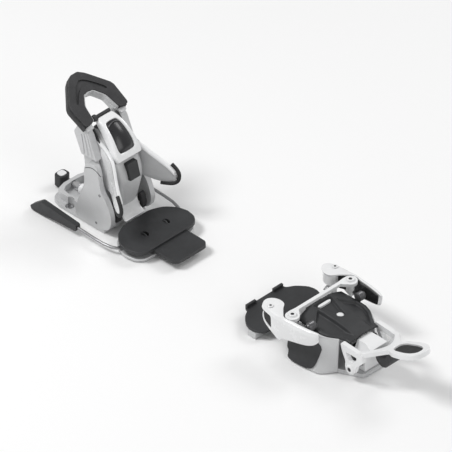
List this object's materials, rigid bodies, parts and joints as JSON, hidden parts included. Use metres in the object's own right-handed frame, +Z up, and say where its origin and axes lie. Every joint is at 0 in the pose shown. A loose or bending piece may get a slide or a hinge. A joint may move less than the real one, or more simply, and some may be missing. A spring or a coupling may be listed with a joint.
{
  "type": "touring binding",
  "caption": "Ski touring binding: pin-and-jaw toe unit with a front lever, and a step-in heel unit with a grip lever and a brake.",
  "frame": {"origin": "centre line of the toe base plate's underside, on the ski's top surface, 44 mm ahead of the toe pins", "axes": "+X to the ski's tip, +Y to the skier's left, +Z up from the ski"},
  "size_m": [0.5164, 0.1064, 0.149],
  "materials": {
    "white_paint": "satin white paint",
    "grey_alloy": "fine blasted light grey",
    "black_plastic": "fine grained black",
    "black_gloss": "glossy dark window",
    "black_rubber": "matt black rubber",
    "steel": "zinc plated steel",
    "chrome": "polished chrome"
  },
  "bodies": {
    "base": {"toe_base_plate": "grey_alloy", "crampon_plate": "black_plastic", "toe_screw_rear_left": "steel", "toe_screw_rear_right": "steel", "toe_screw_front": "steel", "toe_shell": "grey_alloy", "toe_side_panel_left": "black_plastic", "toe_side_panel_right": "black_plastic", "toe_top_cover": "black_plastic", "toe_hub": "white_paint", "toe_cross_bar": "white_paint", "toe_plunger_left": "steel", "toe_plunger_right": "steel", "toe_spring": "steel", "heel_track": "grey_alloy", "heel_track_cap": "black_plastic", "heel_screw_rear_left": "steel", "heel_screw_rear_right": "steel", "heel_screw_middle_left": "steel", "heel_screw_middle_right": "steel"},
    "toe_release": {"toe_release_screw": "black_plastic"},
    "toe_lever": {"toe_lever": "white_paint", "toe_lever_insert": "black_rubber", "toe_lever_tongue": "black_plastic", "toe_lever_axle": "steel"},
    "length_screw": {"heel_length_screw": "chrome"},
    "heel_carriage": {"heel_carriage": "grey_alloy", "heel_axle": "steel", "heel_treadle": "grey_alloy", "brake_base_plate": "grey_alloy", "heel_cheek_left": "grey_alloy", "heel_cheek_right": "grey_alloy", "heel_bumper_left": "black_rubber", "heel_bumper_right": "black_rubber"},
    "heel_cup": {"heel_housing": "grey_alloy", "heel_frame": "white_paint", "heel_window": "black_gloss", "heel_tongue": "black_plastic", "heel_wing_left": "white_paint", "heel_wing_right": "white_paint", "heel_cup_rim_left": "black_rubber", "heel_cup_rim_right": "black_rubber"},
    "heel_release": {"heel_release_screw": "black_plastic"},
    "heel_lever": {"heel_lever": "grey_alloy", "heel_lever_grip": "black_plastic"},
    "brake_arms": {"brake_arm_left": "steel", "brake_arm_right": "steel", "brake_paddle_left": "black_plastic", "brake_paddle_right": "black_plastic"},
    "brake_pad": {"brake_pad": "black_plastic"},
    "toe_jaw_left": {"toe_jaw_left": "white_paint", "toe_jaw_liner_left": "black_plastic", "toe_pin_left": "chrome", "toe_jaw_pivot_screw_left": "steel", "toe_jaw_rear_screw_left": "steel"},
    "toe_jaw_right": {"toe_jaw_right": "white_paint", "toe_jaw_liner_right": "black_plastic", "toe_pin_right": "chrome", "toe_jaw_pivot_screw_right": "steel", "toe_jaw_rear_screw_right": "steel"}
  },
  "joints": [
    {"name": "toe_lever_tilt", "type": "hinge", "parent": "base", "child": "toe_lever", "pos_m": [0.0486, 0, 0.0137], "axis": [0, -1, 0], "range_deg": [-18, 8]},
    {"name": "toe_jaw_left_swing", "type": "hinge", "parent": "base", "child": "toe_jaw_left", "pos_m": [-0.018, 0.041, 0.04], "axis": [0, 0, -1], "range_deg": [-5, 11]},
    {"name": "toe_jaw_right_swing", "type": "hinge", "parent": "base", "child": "toe_jaw_right", "pos_m": [-0.018, -0.041, 0.04], "axis": [0, 0, 1], "range_deg": [-5, 11]},
    {"name": "toe_release_turn", "type": "hinge", "parent": "base", "child": "toe_release", "pos_m": [0.0368, 0, 0.024], "axis": [0, 1, 0], "continuous": true},
    {"name": "heel_length_slide", "type": "slide", "parent": "base", "child": "heel_carriage", "axis": [1, 0, 0], "range_m": [-0.012, 0.012]},
    {"name": "length_screw_turn", "type": "hinge", "parent": "base", "child": "length_screw", "pos_m": [-0.386, 0, 0.0085], "axis": [1, 0, 0], "range_deg": [-725, 725]},
    {"name": "heel_lever_swing", "type": "hinge", "parent": "heel_carriage", "child": "heel_lever", "pos_m": [-0.318, 0, 0.028], "axis": [0, -1, 0], "range_deg": [0, 45]},
    {"name": "heel_cup_open", "type": "hinge", "parent": "heel_carriage", "child": "heel_cup", "pos_m": [-0.318, 0, 0.028], "axis": [0, -1, 0], "range_deg": [0, 14.4]},
    {"name": "heel_release_turn", "type": "hinge", "parent": "heel_cup", "child": "heel_release", "pos_m": [-0.3285, 0, 0.1053], "axis": [-0.5101, 0, 0.8601], "continuous": true},
    {"name": "brake_arm_swing", "type": "hinge", "parent": "heel_carriage", "child": "brake_arms", "pos_m": [-0.262, 0, 0.0072], "axis": [0, -1, 0], "range_deg": [0, 50]},
    {"name": "brake_pad_rise", "type": "hinge", "parent": "heel_carriage", "child": "brake_pad", "pos_m": [-0.2795, 0, 0.01], "axis": [0, -1, 0], "range_deg": [0, 12]}
  ],
  "couplings": [
    {"joint": "toe_jaw_left_swing", "follows": "toe_lever_tilt", "ratio": -0.6},
    {"joint": "toe_jaw_right_swing", "follows": "toe_lever_tilt", "ratio": -0.6},
    {"joint": "length_screw_turn", "follows": "heel_length_slide", "rad_per_m": 1047.2},
    {"joint": "heel_cup_open", "follows": "heel_lever_swing", "ratio": 0.32},
    {"joint": "brake_pad_rise", "follows": "brake_arm_swing", "ratio": 0.24}
  ]
}
